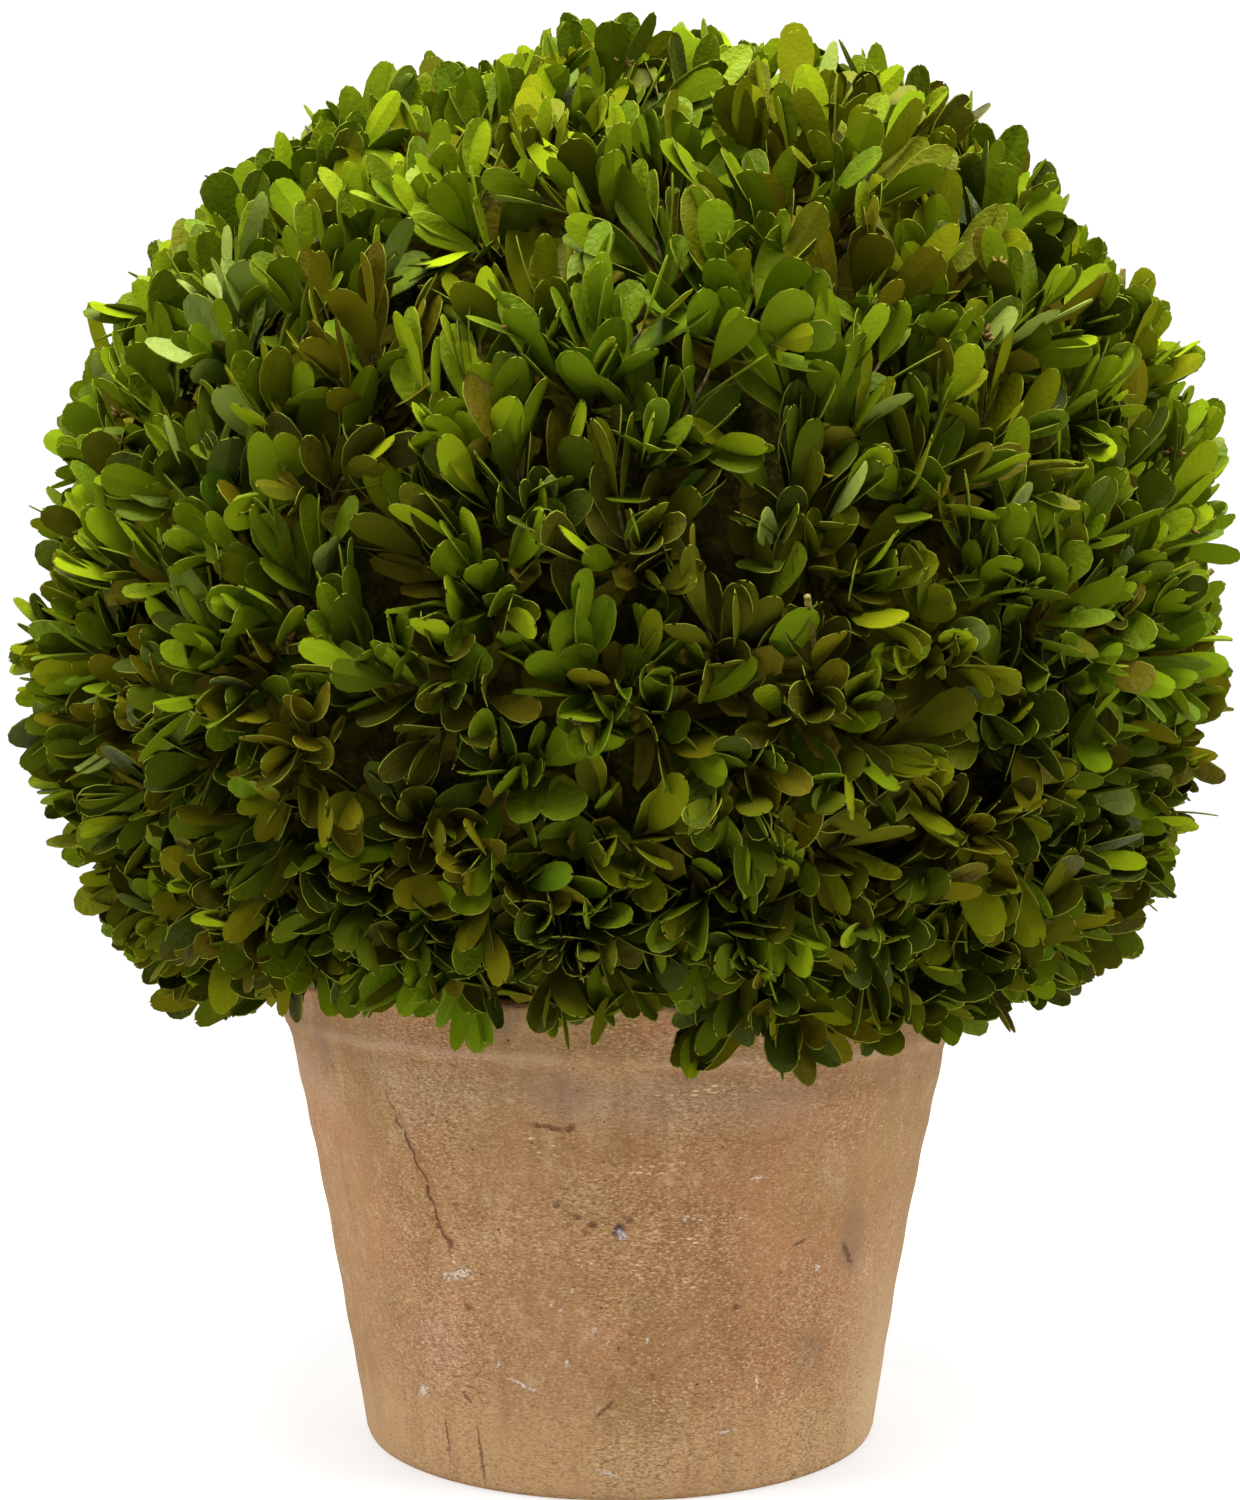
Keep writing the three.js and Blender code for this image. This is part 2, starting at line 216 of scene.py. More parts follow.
class Field:
    """A value over a surface. Sums, products and differences of fields and numbers become Math nodes."""

    def __init__(self, tree, socket):
        self.tree = tree
        self.socket = socket

    def node(self, kind, settings, inputs, output=0):
        """Any other node: its settings first, then the values or fields for its sockets."""
        made = self.tree.nodes.new(kind)
        for name, value in settings.items():
            setattr(made, name, value)
        for name, value in inputs.items():
            if isinstance(value, Field):
                self.tree.links.new(value.socket, made.inputs[name])
            else:
                made.inputs[name].default_value = value
        return Field(self.tree, made.outputs[output])

    def math(self, operation, *others):
        return self.node("ShaderNodeMath", {"operation": operation}, dict(enumerate((self, *others))))

    def __add__(self, other):
        return self.math("ADD", other)

    def __sub__(self, other):
        return self.math("SUBTRACT", other)

    def __mul__(self, other):
        return self.math("MULTIPLY", other)

    def __rsub__(self, other):
        return self * -1 + other

    __radd__ = __add__
    __rmul__ = __mul__

    def at_most(self, limit):
        return self.math("MINIMUM", limit)

    def between(self, low, high):
        """0 where the field is below low, 1 above high, with a soft slope between."""
        settings = {"interpolation_type": "SMOOTHSTEP"}
        return self.node("ShaderNodeMapRange", settings, {"Value": self, "From Min": low, "From Max": high})

    def near(self, centre, width):
        """1 where the field is at centre, down to 0 at width away from it."""
        return 1 - (self - centre).math("ABSOLUTE").between(0, width)

    def scaled(self, x, y, z):
        return self.node("ShaderNodeVectorMath", {"operation": "MULTIPLY"}, {0: self, 1: (x, y, z)})

    def noise(self, scale, detail=3.0, roughness=0.55):
        """Noise at this place, with scale in lumps per metre."""
        inputs = {"Vector": self, "Scale": scale, "Detail": detail, "Roughness": roughness}
        return self.node("ShaderNodeTexNoise", {}, inputs)

    def specks(self, scale):
        """Distance to the nearest of many scattered points, in units of their spacing."""
        return self.node("ShaderNodeTexVoronoi", {}, {"Vector": self, "Scale": scale})

    def paint(self, under, over):
        """The colour over, where the field is 1, on the colour under, where it is 0."""
        under = under if isinstance(under, Field) else (*under, 1)
        inputs = {0: self, 6: under, 7: (*over, 1)}
        return self.node("ShaderNodeMix", {"data_type": "RGBA"}, inputs, output=2)

    def bump(self, distance, strength=1.0):
        """A surface normal from the field as a height, where 1 stands this many metres above 0."""
        return self.node("ShaderNodeBump", {}, {"Height": self, "Distance": distance, "Strength": strength})


def new_material(name):
    """A material, its surface shader and the place on the object as a field."""
    material = bpy.data.materials.new(name)
    material.use_nodes = True
    tree = material.node_tree
    place = Field(tree, tree.nodes.new("ShaderNodeTexCoord").outputs["Object"])
    return material, tree.nodes["Principled BSDF"], place


def finish_material(shader, colour, roughness, normal=None, gloss=0.5):
    """Sets the colour, the roughness and the normal, each a plain value or a field, and the plain gloss."""
    colour = colour if isinstance(colour, Field) else (*colour, 1)
    for name, value in (("Base Color", colour), ("Roughness", roughness), ("Normal", normal)):
        if isinstance(value, Field):
            value.tree.links.new(value.socket, shader.inputs[name])
        elif value is not None:
            shader.inputs[name].default_value = value
    shader.inputs["Specular IOR Level"].default_value = gloss


def make_terracotta():
    """Dry, weathered clay with grain, soft clouds, runs, bloom, pits, lime specks, a crack and marks."""
    material, shader, place = new_material("terracotta")
    x, y, z = (place.node("ShaderNodeSeparateXYZ", {}, {"Vector": place}, output=i) for i in range(3))
    front = 1 - y.between(-0.02, -0.005)
    clouds = place.noise(13, 3, 0.5)
    patches = place.scaled(1, 1, 0.7).noise(42, 4, 0.6)
    stains = place.scaled(1, 1, 0.5).noise(31, 3, 0.6)
    mottle = place.scaled(1, 1, 0.8).noise(190, 5, 0.7)
    runs = place.scaled(1, 1, 0.1).noise(150, 3, 0.6)
    grain = place.scaled(0.65, 0.65, 1.4).noise(1450, 3, 0.65)
    flecks = place.scaled(0.55, 0.55, 1.6).noise(760, 4, 0.7)

    # The ground: pink clouds, olive patches, earthy stains and mottling, and a paler foot, partly the
    # clay's own tan and partly painted light from the floor.
    colour = clouds.between(0.40, 0.60).paint(CLAY, CLAY_PINK)
    colour = (patches.between(0.44, 0.64) * 0.9).paint(colour, CLAY_OLIVE)
    colour = (stains.between(0.48, 0.64) * 0.50).paint(colour, CLAY_EARTH)
    colour = (mottle.between(0.50, 0.66) * 0.38).paint(colour, CLAY_EARTH)
    colour = ((1 - mottle).between(0.52, 0.68) * 0.32).paint(colour, CLAY_PALE)
    foot = 1 - (z + 0.03 * (patches - 0.5)).between(0.008, 0.034)
    colour = (foot * 0.8).paint(colour, CLAY_FOOT)

    # A pale bloom, most of it below the band, and dark runs down the wall.
    below_band = (z + 0.012 * (clouds - 0.5)).near(0.1085, 0.012) * clouds.between(0.38, 0.56)
    bloom = below_band + 0.8 * place.noise(26, 4, 0.6).between(0.58, 0.74)
    colour = (bloom.at_most(1) * 0.5).paint(colour, CLAY_BLOOM_AND_HIGHLIGHT)
    colour = (runs.between(0.48, 0.70) * 0.30).paint(colour, CLAY_DARK)

    # A painted highlight low on the right flank, and the right side is browner above.
    flank = x.math("ABSOLUTE").between(0.048, 0.072)
    # A painted highlight, pale low on the right flank.
    painted_highlight_flank = x.between(0.056, 0.072) * (1 - z.between(0.025, 0.080))
    colour = (painted_highlight_flank * 0.70).paint(colour, CLAY_PALE)
    right_side = (x + 0.02 * clouds).between(0.022, 0.044) * (z + 0.03 * patches).between(0.030, 0.060)
    colour = (right_side * 0.30).paint(colour, CLAY_EARTH)

    # Dark and pale grit, coarser in the middle, with fine flecks, pits and specks of lime.
    coarse = (1 - 0.50 * flank) * (0.8 + 0.6 * place.noise(22, 2).between(0.40, 0.62))
    colour = ((1 - grain.between(0.34, 0.50)) * coarse * 0.66).paint(colour, CLAY_DARK)
    colour = (grain.between(0.52, 0.68) * coarse * 0.62).paint(colour, CLAY_PALE)
    colour = (flecks.between(0.56, 0.68) * coarse * 0.78).paint(colour, CLAY_DARK)
    pale_specks = place.noise(48, 2).between(0.50, 0.64) * (1 - flecks).between(0.56, 0.68)
    colour = (pale_specks * 0.75).paint(colour, CLAY_PALE)
    pits = (1 - place.specks(210).between(0.04, 0.10)) * place.noise(70, 2).between(0.48, 0.58)
    lime = (1 - place.specks(330).between(0.05, 0.12)) * place.noise(33, 2).between(0.46, 0.60)
    colour = (pits * 0.85).paint(colour, CRACK)
    colour = (lime * 0.75).paint(colour, CLAY_LIME)

    # The band's edge with a painted highlight and painted shade under it, soot with painted shade near the
    # lip, and a darker line at the very bottom of the foot.
    above_band = z + 0.024 * x + 0.002 * (clouds - 0.5) - 0.001 * BAND_BOTTOM
    # The highlight on the band's edge and the shade under it are both painted, broken up in patches.
    patchiness = 0.3 + 0.7 * place.noise(40, 3).between(0.40, 0.56)
    colour = (above_band.near(0.0016, 0.0022) * patchiness * 0.40).paint(colour, CLAY_BLOOM_AND_HIGHLIGHT)
    colour = (above_band.near(-0.0022, 0.0028) * patchiness * 0.30).paint(colour, CLAY_DARK)
    # Soot and painted shade under the overhanging leaves near the lip.
    soot_and_shade = place.noise(30, 4, 0.6).between(0.56, 0.72) * z.between(0.102, 0.122)
    colour = (soot_and_shade * 0.55).paint(colour, CLAY_SOOT_AND_SHADE)
    # A darker line along the very bottom of the foot.
    foot_line = 1 - z.between(0.0004, 0.0020)
    colour = (foot_line * 0.35).paint(colour, CRACK)

    # The crack wanders as it goes down, and has a rusty stain along it.
    wobble = 0.0085 * (place.noise(140, 5) - 0.5) + 0.005 * (place.noise(30, 2) - 0.5)
    below_top = CRACK_TOP - z
    sway = 0.0009 * (90 * below_top).math("SINE")
    from_crack = x - CRACK_ACROSS - CRACK_SLANT * below_top + sway + wobble
    crack_length = z.between(*CRACK_END) * front * (1 - 0.90 * z.between(*CRACK_FADE))
    crack = from_crack.near(0, CRACK_WIDTH) * crack_length * place.noise(320, 3).between(0.30, 0.46)
    stain = from_crack.near(0, STAIN_WIDTH) * crack_length * place.noise(160, 4).between(0.36, 0.58)
    colour = (stain * 0.55).paint(colour, CLAY_RUST)
    colour = (crack * 0.80).paint(colour, CRACK)

    def marks(places):
        """1 on the marks in a list and 0 elsewhere, with ragged edges."""
        total = 0
        ragged = 0.0030 * (flecks - 0.5)
        for across, up, length, width, tilt in places:
            cosine = math.cos(math.radians(tilt))
            sine = math.sin(math.radians(tilt))
            right = x - 0.001 * across
            above = z - 0.001 * up
            along = (cosine * right + sine * above + ragged).near(0, 0.0007 * length)
            aside = (cosine * above - sine * right + ragged).near(0, 0.0012 * width)
            total = along * aside + total
        return (2.2 * total * front * grain.between(0.40, 0.54)).at_most(1)

    # The marks of the front: rubbed golden places, smudges, scratches, chips and a pit with a pale floor.
    gold = marks(GOLD_MARKS) * (1 - place.scaled(0.5, 0.5, 1.8).specks(620).between(0.16, 0.40))
    colour = (gold * 0.85).paint(colour, CLAY_GOLD)
    smudges = marks(SMUDGES) * (0.4 + 0.6 * place.noise(60, 4, 0.6).between(0.40, 0.60))
    colour = (smudges * 0.42).paint(colour, CLAY_SOOT_AND_SHADE)
    dark_marks = marks(DARK_MARKS)
    colour = (dark_marks * 0.75).paint(colour, CRACK)
    pale_marks = marks(PALE_MARKS)
    colour = (pale_marks * 0.80).paint(colour, CLAY_LIME)
    pit_hollow = marks([PIT_HOLLOW])
    colour = pit_hollow.paint(colour, PIT_DARK)
    colour = (marks([PIT_FLOOR]) * 0.9).paint(colour, PIT_PALE)

    hollows = pits + crack + dark_marks + pit_hollow
    height = 0.55 * grain + 0.6 * flecks + 0.5 * patches - 1.0 * hollows + 0.4 * lime + 0.4 * pale_marks
    finish_material(shader, colour, 0.84 + 0.14 * flecks, height.bump(0.0007, 0.8), gloss=0.15)
    shader.inputs["Sheen Weight"].default_value = CLAY_SHEEN
    shader.inputs["Sheen Roughness"].default_value = 0.5
    shader.inputs["Sheen Tint"].default_value = (*CLAY_DUST, 1)
    return material


pot = make_piece("pot_terracotta", points, closed_rings(len(profile), POT_SIDES), [make_terracotta()])
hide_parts("pot")
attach(pot, "root")

# The fill of the pot
# Cast plaster with a brown, crumbly coat, poured into the pot. It holds the foot of the stem and is hidden
# by the leaves. The solid of the frame shows its shape, and only gets a finish here.

FILL_DARK = (0.035, 0.022, 0.012)
FILL_PALE = (0.100, 0.066, 0.034)


def make_crumbs():
    material, shader, place = new_material("crumbly fill")
    lumps = place.noise(160, 5, 0.7)
    colour = lumps.between(0.4, 0.65).paint(FILL_DARK, FILL_PALE)
    height = lumps + 0.4 * place.noise(700, 3)
    finish_material(shader, colour, 0.9 + 0.1 * lumps, height.bump(0.004))
    return material


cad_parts["pot_fill"].data.materials.clear()
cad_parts["pot_fill"].data.materials.append(make_crumbs())

# The stem
# A short length of natural branch with its bark on and a flared foot, set on the fill. The foam ball is
# pushed onto its tip, just clear of it here.

FILL_TOP = 112.0
FIT_GAP = 0.3
STEM_TIP = 131.0
STEM_LEVELS = 24
STEM_FLARE_RADIUS = 14.6
STEM_FOOT_RADIUS = 9.6
STEM_TIP_RADIUS = 7.7
STEM_SIDES = 48
STEM_FLARE_FALL = 7  # how fast the flare dies out up the stem
BARK_RIDGES = 11
BARK_RELIEF = 0.5

BARK_DARK = (0.060, 0.038, 0.020)
BARK_PALE = (0.190, 0.135, 0.075)

levels = np.linspace(FILL_TOP + FIT_GAP, STEM_TIP, STEM_LEVELS)
rise = (levels - levels[0]) / (levels[-1] - levels[0])
stem_radius = STEM_TIP_RADIUS + (STEM_FOOT_RADIUS - STEM_TIP_RADIUS) * (1 - rise)
stem_radius = stem_radius + (STEM_FLARE_RADIUS - STEM_FOOT_RADIUS) * np.exp(-rise * STEM_FLARE_FALL)
turns = np.linspace(0, 2 * math.pi, STEM_SIDES, endpoint=False)
turn, level = np.meshgrid(turns, levels)
ridges = np.abs(np.sin(0.5 * BARK_RIDGES * turn + 0.5 * np.sin(level / 3) + 0.7 * np.sin(3 * turn)))
radius = stem_radius[:, None] - BARK_RELIEF * (1 - ridges)
points = np.stack([radius * np.cos(turn), radius * np.sin(turn), level], axis=-1).reshape(-1, 3)


def make_bark():
    material, shader, place = new_material("bark")
    fibres = place.scaled(1, 1, 0.25).noise(420, 5, 0.65)
    colour = fibres.between(0.38, 0.66).paint(BARK_DARK, BARK_PALE)
    finish_material(shader, colour, 0.8 + 0.15 * fibres, fibres.bump(0.0008))
    return material


stem = make_piece("stem_bark", points, closed_rings(STEM_LEVELS, STEM_SIDES), [make_bark()])
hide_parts("stem")
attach(stem, "root")

# The core of the ball
# A foam ball, cut flat to sit just above the pot's lip and wrapped in dark moss and old foliage. The sprigs
# are pushed into it all round, and it closes the view between them.

BALL_CENTRE = np.array([0.0, 0.0, 230.5])
CORE_RADIUS = 139.0
CORE_CUT = POT_HEIGHT + 1.5
CORE_LUMPS = 3.0
CORE_RINGS = 64
CORE_SIDES = 128

MOSS_DARK = (0.090, 0.078, 0.010)
MOSS_PALE = (0.230, 0.210, 0.030)

cut_angle = math.acos((CORE_CUT - BALL_CENTRE[2]) / CORE_RADIUS)
down = np.linspace(0.004, cut_angle, CORE_RINGS)
turns = np.linspace(0, 2 * math.pi, CORE_SIDES, endpoint=False)
turn, angle = np.meshgrid(turns, down[::-1])
way = np.stack([np.sin(angle) * np.cos(turn), np.sin(angle) * np.sin(turn), np.cos(angle)], axis=-1)
lumps = np.sin(23 * way[..., 0] + 2 * way[..., 2]) * np.sin(21 * way[..., 1] + 1) * np.sin(19 * way[..., 2])
reach = CORE_RADIUS + CORE_LUMPS * lumps * smooth_step(cut_angle - angle, 0, 0.1)
points = (BALL_CENTRE + reach[..., None] * way).reshape(-1, 3)


def make_moss():
    material, shader, place = new_material("dark moss")
    strands = place.noise(260, 6, 0.75)
    colour = strands.between(0.42, 0.68).paint(MOSS_DARK, MOSS_PALE)
    finish_material(shader, colour, 0.9 + 0.1 * strands, strands.bump(0.006), gloss=0)
    return material


core = make_piece("ball_core", points, closed_rings(CORE_RINGS, CORE_SIDES), [make_moss()])
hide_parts("foliage_ball")
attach(core, "root")

# The twigs
# Each sprig forks where it leaves the core, and its twigs fan out to the clipped surface of the ball. They
# are thin, brown-green and woody, and each carries its leaves in pairs.

BALL_RADIUS = 177.0
BALL_LEAN = 8.0  # the ball reaches further on the right at the top and on the left below
# Shallow hollows left by the shears: the direction of each, its depth, and its width as a share of the
# radius. One with a depth below 0 is a swelling.
HOLLOWS = [
    ((-0.94, -0.25, 0.22), 9.0, 0.20),
    ((-0.97, -0.25, 0.01), 6.0, 0.13),
    ((-0.89, -0.20, -0.38), 7.0, 0.18),
    ((0.81, -0.25, 0.54), 7.0, 0.17),
    ((0.90, -0.25, 0.36), -4.0, 0.16),
    ((0.88, -0.20, -0.42), -4.0, 0.15),
]
FULL_PART = 4.2  # how much fuller than a true sphere the ball is above its middle
FULL_AT = 0.42  # height of the direction where it is fullest
FULL_WIDTH = 0.27
TUCK = 2.5  # how much the lowest part draws in
TOP_DROP = 2.6  # how much lower than a true sphere the clipped top is

SEED = 20
SPRIGS = 400
SKIRT_SPRIGS = 40  # an extra row round the lower edge, pointing outward over the pot's lip
SKIRT_SLOPE = -0.50  # height of that row's direction
SPRIG_STIR = 0.035
TWIGS_PER_SPRIG = 5
FORK_SPREAD = 0.078  # radians, at the ball's centre, from a sprig to its outer twigs
FORK_RANGE = (0.75, 0.5)  # least share of that, and how much more a twig may take
MIDDLE_FORK = 0.02  # the same for the one twig in the middle
TWIG_SINK = 6.0
TWIG_TIP = 155.0  # from the ball's centre
TWIG_TIP_SPREAD = 10.0
SPRIG_TIP_SPREAD = 2.2
TWIG_RADIUS = 0.75
TWIG_TIP_RADIUS = 0.4
TWIG_SIDES = 5
TWIG_STEPS = 5
TWIG_CURVE = 0.55  # share of a twig's length at which it starts to turn from its sprig's direction
TWIG_CHECK = 0.6  # share of its length at which a twig must already be inside the ball
UPWARD_LEAN = 14.0  # how much lower a twig is rooted than it would be if it pointed away from the centre
LEAN_FROM = -0.45  # height of the direction below which the twigs lean down instead
DOWNWARD_LEAN = 4.0
SKIRT_LEAN = 6.0  # the skirt's twigs rise a little instead, as the lip is in their way
SPRIG_LEAN = 3.5
TWIG_LEAN = 3.0
GOLDEN_ANGLE = math.pi * (3 - math.sqrt(5))
SKIRT_BOTTOM = 118.0  # the lowest leaf tips
SKIRT_FRONT_RISE = 4.5  # how much higher the skirt ends in front than at the back
SKIRT_UNEVENNESS = 11.0  # how much higher the leaves of some sprigs end
SKIRT_RISE = 0.5  # how fast the skirt's lower edge rises towards the pot
SKIRT_RADIUS = 126.0  # where it starts to rise
# Groups of sprigs that hang over the lip: middle and half width in degrees, and height of the lowest tips.
HANGING = [(-75, 7, 115.5), (-110, 3.5, 121), (-51, 4, 121), (-163, 7, 118), (38, 5, 117), (155, 5, 117)]
POT_CLEARANCE = 2.0  # between the leaves and the pot's band
TIP_UNEVENNESS = 2.8  # how far the tips of a sprig may end outside or inside the clipped surface

TWIG_DARK = (0.052, 0.040, 0.013)
TWIG_PALE = (0.170, 0.130, 0.045)

random = np.random.default_rng(SEED)


def unit(vectors):
    return vectors / np.linalg.norm(vectors, axis=-1, keepdims=True)


def leaning(direction, angle, turn):
    """Directions that lean away from others by an angle, towards a compass turn round them."""
    steep = np.abs(direction[..., 2:]) > 0.9
    across = unit(np.cross(direction, np.where(steep, (1.0, 0.0, 0.0), (0.0, 0.0, 1.0))))
    over = np.cross(direction, across)
    side = np.cos(turn)[..., None] * across + np.sin(turn)[..., None] * over
    return np.cos(angle)[..., None] * direction + np.sin(angle)[..., None] * side


def ball_reach(way):
    """How far the clipped ball reaches from its centre in a direction."""
    lean = BALL_LEAN * way[..., 0] * way[..., 2] * smooth_step(way[..., 2], -0.6, -0.1)
    hollow = 0
    for middle, depth, width in HOLLOWS:
        from_middle = np.linalg.norm(way - unit(np.array(middle)), axis=-1)
        hollow = hollow + depth * np.exp(-((from_middle / width) ** 2))
    full = FULL_PART * np.exp(-(((way[..., 2] - FULL_AT) / FULL_WIDTH) ** 2))
    tuck = TUCK * smooth_step(-way[..., 2], 0.40, 0.56)
    flat_top = TOP_DROP * smooth_step(way[..., 2], 0.90, 0.97)
    return BALL_RADIUS + lean - hollow + full - tuck - flat_top


def keeps_to_ball(points, edge, rise):
    """True for each shape with all its points inside the ball, above its own skirt edge and off the pot."""
    from_axis = np.hypot(points[..., 0], points[..., 1])
    from_centre = points - BALL_CENTRE
    inside = np.linalg.norm(from_centre, axis=-1) < ball_reach(unit(from_centre)) + TIP_UNEVENNESS
    edge_here = edge[:, None] + rise[:, None] * np.maximum(0, SKIRT_RADIUS - from_axis)
    above = (points[..., 2] > edge_here) | (points[..., 2] > POT_HEIGHT + 1)
    pot_edge = wall_radius(POT_HEIGHT) + BAND_STEP + POT_CLEARANCE
    off_pot = (from_axis > pot_edge) | (points[..., 2] > POT_HEIGHT + 1)
    return np.all(inside & above & off_pot, axis=-1)


def sprig_directions():
    """An even spiral over the whole ball and a row round its lower edge, a little stirred."""
    order = np.arange(SPRIGS)
    skirt_order = np.arange(SKIRT_SPRIGS)
    height = np.concatenate([1 - (2 * order + 1) / SPRIGS, np.full(SKIRT_SPRIGS, SKIRT_SLOPE)])
    around = np.concatenate([order * GOLDEN_ANGLE, 2 * math.pi * skirt_order / SKIRT_SPRIGS])
    flat = np.sqrt(1 - height**2)
    even = np.stack([flat * np.cos(around), flat * np.sin(around), height], axis=-1)
    return leaning(even, SPRIG_STIR * random.random(len(even)), 2 * math.pi * random.random(len(even)))


def core_exit(direction):
    """How far from the ball's centre a direction leaves the core, through the ball or its flat cut."""
    steepness = np.maximum(-direction[..., 2], 1e-6)
    return np.minimum(CORE_RADIUS, (BALL_CENTRE[2] - CORE_CUT) / steepness)


sprigs = sprig_directions()
sprig_count = len(sprigs)
sprig_of_twig = np.repeat(np.arange(sprig_count), TWIGS_PER_SPRIG)
place_in_sprig = np.tile(np.arange(TWIGS_PER_SPRIG), sprig_count)
first_turn = np.repeat(2 * math.pi * random.random(sprig_count), TWIGS_PER_SPRIG)
fork_turn = first_turn + 2 * math.pi * place_in_sprig / (TWIGS_PER_SPRIG - 1)
twig_count = len(sprig_of_twig)
outer_fork = FORK_SPREAD * (FORK_RANGE[0] + FORK_RANGE[1] * random.random(twig_count))
fork = np.where(place_in_sprig == TWIGS_PER_SPRIG - 1, MIDDLE_FORK, outer_fork)
sprig_way = sprigs[sprig_of_twig]
twig_way = leaning(sprig_way, fork, fork_turn)
exit_reach = core_exit(sprig_way)
uphill = unit(np.array([0.0, 0.0, 1.0]) - sprigs[:, 2:] * sprigs)
upward = UPWARD_LEAN * smooth_step(sprigs[:, 2:], LEAN_FROM, 0.3)
downward = DOWNWARD_LEAN * (1 - smooth_step(sprigs[:, 2:], -0.9, LEAN_FROM))
lean = (upward - downward) * (1 - sprigs[:, 2:] ** 2) ** 0.3
lean = np.where(np.arange(sprig_count)[:, None] < SPRIGS, lean, SKIRT_LEAN)
sprig_lean = lean * uphill + SPRIG_LEAN * random.normal(size=(sprig_count, 3))
sprig_tip = SPRIG_TIP_SPREAD * random.normal(size=sprig_count)
compass = np.degrees(np.arctan2(sprigs[:, 1], sprigs[:, 0]))
skirt_edge = SKIRT_BOTTOM + SKIRT_UNEVENNESS * random.random(sprig_count)
skirt_edge = skirt_edge + SKIRT_FRONT_RISE * smooth_step(-sprigs[:, 1], 0.3, 0.75)
skirt_rise = np.full(sprig_count, SKIRT_RISE)
for middle, half_width, lowest in HANGING:
    hangs = np.abs(compass - middle) < half_width
    skirt_edge[hangs] = lowest
    skirt_rise[hangs] = 0
twig_root = BALL_CENTRE + sprig_way * (exit_reach - TWIG_SINK)[:, None] - sprig_lean[sprig_of_twig]
tip_reach = core_exit(twig_way) + (TWIG_TIP - CORE_RADIUS) + sprig_tip[sprig_of_twig]
tip_reach = tip_reach + TWIG_TIP_SPREAD * (random.random(twig_count) - 0.5)
tip_reach = tip_reach + ball_reach(twig_way) - BALL_RADIUS
twig_tip = BALL_CENTRE + twig_way * tip_reach[:, None]
straight_part = TWIG_CURVE * np.linalg.norm(twig_tip - twig_root, axis=-1)[:, None]
twig_bend = twig_root + sprig_way * straight_part + TWIG_LEAN * random.normal(size=(twig_count, 3))


def along_twig(share, which=slice(None)):
    """Point and direction on the curved axis of twigs, at a share of their length."""
    share = np.asarray(share)[..., None]
    root, bend, tip = twig_root[which], twig_bend[which], twig_tip[which]
    point = (1 - share) ** 2 * root + 2 * share * (1 - share) * bend + share**2 * tip
    slope = 2 * (1 - share) * (bend - root) + 2 * share * (tip - bend)
    return point, unit(slope)


mid_point, _ = along_twig(np.full(twig_count, TWIG_CHECK))
checked = np.stack([mid_point, twig_tip], axis=1)
twigs = np.flatnonzero(keeps_to_ball(checked, skirt_edge[sprig_of_twig], skirt_rise[sprig_of_twig]))


def make_tubes(axis_points, axis_ways, thick, sides):
    """Tubes along many axes, as thick as stated at each step: their points, sides and outer ends."""
    count, steps = axis_ways.shape[:2]
    square = np.full((count, steps), math.pi / 2)
    points = []
    for side in range(sides):
        compass = np.full((count, steps), 2 * math.pi * side / sides)
        points.append(axis_points + thick[:, None] * leaning(axis_ways, square, compass))
    first_point = np.arange(count)[:, None, None] * steps * sides
    end = (steps - 1) * sides + np.arange(sides)[None]
    tubes = (first_point + ring_faces(steps, sides)).reshape(-1, 4)
    return np.stack(points, axis=2).reshape(-1, 3), tubes, (first_point + end).reshape(-1, sides)


shares = np.linspace(0, 1, TWIG_STEPS)
axis_points, axis_ways = zip(*(along_twig(np.full(len(twigs), share), twigs) for share in shares))
axis_points, axis_ways = np.stack(axis_points, axis=1), np.stack(axis_ways, axis=1)
thick = TWIG_RADIUS + (TWIG_TIP_RADIUS - TWIG_RADIUS) * shares
points, tubes, tube_ends = make_tubes(axis_points, axis_ways, thick, TWIG_SIDES)


def make_twig_bark():
    material, shader, place = new_material("twig bark")
    streaks = place.noise(500, 4, 0.6)
    colour = streaks.between(0.38, 0.62).paint(TWIG_DARK, TWIG_PALE)
    finish_material(shader, colour, 0.65 + 0.3 * streaks, streaks.bump(0.0004), gloss=0.15)
    return material


twig_piece = make_piece("twigs", points, [tubes, tube_ends], [make_twig_bark()])
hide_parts("foliage_ball")
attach(twig_piece, "root")

# The cut twigs
# Where the shears went through a thicker twig it ends in a bare, yellow-green stub with a pale cut end. It
# grew past its last pair of leaves there.

STUBS = 26
STUB_LENGTH = 15.0
STUB_INSET = 4.0  # how far below the clipped surface a stub ends
LOWEST_CUT = -0.35  # height of the direction below which no stub or bud shows
STUB_PLACES = np.array([0.0, 0.5, 1.0])  # shares of its length, with its radius at each
STUB_RADII = np.array([0.7, 0.85, 0.8])
STUB_SIDES = 7
STUB_GREEN = (0.170, 0.165, 0.018)
STUB_BROWN = (0.085, 0.066, 0.012)
STUB_CUT = (0.260, 0.235, 0.080)

leafy_twigs = twigs[sprigs[sprig_of_twig[twigs], 2] > LOWEST_CUT]
cut_twigs = random.choice(leafy_twigs, STUBS, replace=False)
stub_root, stub_way = along_twig(np.full(STUBS, 1.0), cut_twigs)
outward = stub_root - BALL_CENTRE
stub_room = ball_reach(unit(outward)) - np.linalg.norm(outward, axis=-1) - STUB_INSET
stub_length = np.minimum(STUB_LENGTH, stub_room)


def straight_tubes(roots, ways, lengths, places, radii, sides):
    """Tubes along straight lines, with a radius at each of some places along them."""
    lines = lengths[:, None, None] * places[:, None] * ways[:, None]
    return make_tubes(roots[:, None] + lines, np.repeat(ways[:, None], len(places), axis=1), radii, sides)


